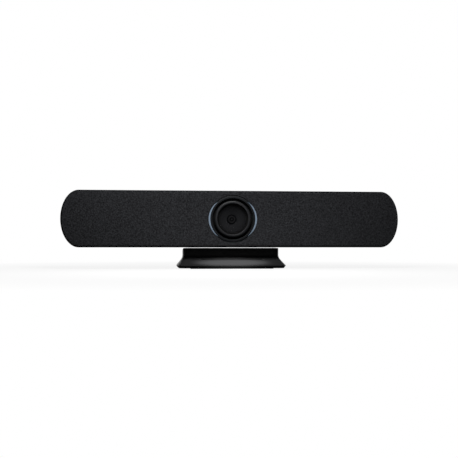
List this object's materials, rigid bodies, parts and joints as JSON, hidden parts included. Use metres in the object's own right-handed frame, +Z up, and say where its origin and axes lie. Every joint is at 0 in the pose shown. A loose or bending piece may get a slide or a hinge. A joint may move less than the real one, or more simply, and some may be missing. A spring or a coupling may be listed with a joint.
{
  "type": "conference camera",
  "caption": "Slim fabric-fronted conference camera bar with a central wide-angle lens, two speakers and eight microphones, tilting on a flared black table stand.",
  "frame": {"origin": "centre of the bounding box's bottom face, on the table under the bar", "axes": "+Z up, -Y the way the lens looks, +X to the right of someone facing the lens"},
  "size_m": [0.48, 0.066, 0.1103],
  "materials": {
    "housing": "fine matt black moulding",
    "bezel_gloss": "gloss black",
    "fabric": "charcoal acoustic cloth",
    "inner_plastic": "matt black moulding",
    "frame_metal": "die-cast, plain",
    "ring_gloss": "gloss grey-black",
    "hood": "satin black",
    "window": "coated clear glass",
    "light_guide": "milky grey-blue",
    "board": "green solder mask",
    "barrel": "black anodised",
    "lens_glass": "coated optical glass",
    "chip": "black package",
    "ribbon": "amber film",
    "basket_metal": "black stamped steel",
    "magnet": "ferrite",
    "cone_paper": "coated black paper",
    "rubber": "matt",
    "gold_plated": "plated",
    "tin_plated": "tinned sheet",
    "pad_grey": "soft heat pad",
    "heat_sink": "extruded",
    "jack_plastic": "black moulding",
    "button": "satin dark grey",
    "steel": "zinc plated",
    "polished_steel": "polished",
    "washer": "friction liner",
    "stand_black": "satin black",
    "ballast": "black coated steel"
  },
  "bodies": {
    "stand": {"stand_shell": "stand_black", "ballast_plate": "ballast", "stand_screws": "steel", "tripod_insert": "gold_plated", "rubber_pads": "rubber", "hinge_clevises": "steel", "hinge_pins": "steel", "friction_washers": "washer"},
    "bar": {"rear_housing": "housing", "front_bezel": "bezel_gloss", "grille_fabric": "fabric", "grille_frame": "inner_plastic", "camera_holder": "inner_plastic", "lens_baffle": "inner_plastic", "speaker_box_left": "inner_plastic", "speaker_box_right": "inner_plastic", "port_panel": "inner_plastic", "mid_frame": "frame_metal", "lens_bezel_ring": "ring_gloss", "lens_hood": "hood", "lens_window": "window", "light_guide_left": "light_guide", "light_guide_right": "light_guide", "led_board": "board", "sensor_board": "board", "mic_boards": "board", "main_board": "board", "lens_barrel": "barrel", "front_lens": "lens_glass", "inner_lenses": "lens_glass", "filter_glass": "lens_glass", "image_sensor": "chip", "board_chips": "chip", "camera_flex": "ribbon", "speaker_basket_left": "basket_metal", "speaker_basket_right": "basket_metal", "speaker_magnet_left": "magnet", "speaker_magnet_right": "magnet", "speaker_cone_left": "cone_paper", "speaker_cone_right": "cone_paper", "speaker_surround_left": "rubber", "speaker_surround_right": "rubber", "mic_gaskets": "rubber", "microphones": "gold_plated", "antennas": "gold_plated", "shield_cans": "tin_plated", "network_port": "tin_plated", "hdmi_port": "tin_plated", "usb_c_port": "tin_plated", "usb_a_port": "tin_plated", "thermal_pad": "pad_grey", "heat_sink": "heat_sink", "dc_jack": "jack_plastic", "audio_jack": "jack_plastic", "button_switches": "jack_plastic", "bar_screws": "steel", "hinge_mount_plate": "steel", "bar_bracket": "polished_steel"},
    "power_button": {"power_button": "button"},
    "pairing_button": {"pairing_button": "button"}
  },
  "joints": [
    {"name": "bar_tilt", "type": "hinge", "parent": "stand", "child": "bar", "pos_m": [0, -0.0051, 0.024], "axis": [-1, 0, 0], "range_deg": [-6, 15]},
    {"name": "power_press", "type": "slide", "parent": "bar", "child": "power_button", "axis": [0, -1, 0], "range_m": [0, 0.0008], "stiffness_N_per_m": 600, "springref_m": -0.0006},
    {"name": "pairing_press", "type": "slide", "parent": "bar", "child": "pairing_button", "axis": [0, -1, 0], "range_m": [0, 0.0008], "stiffness_N_per_m": 600, "springref_m": -0.0006}
  ]
}
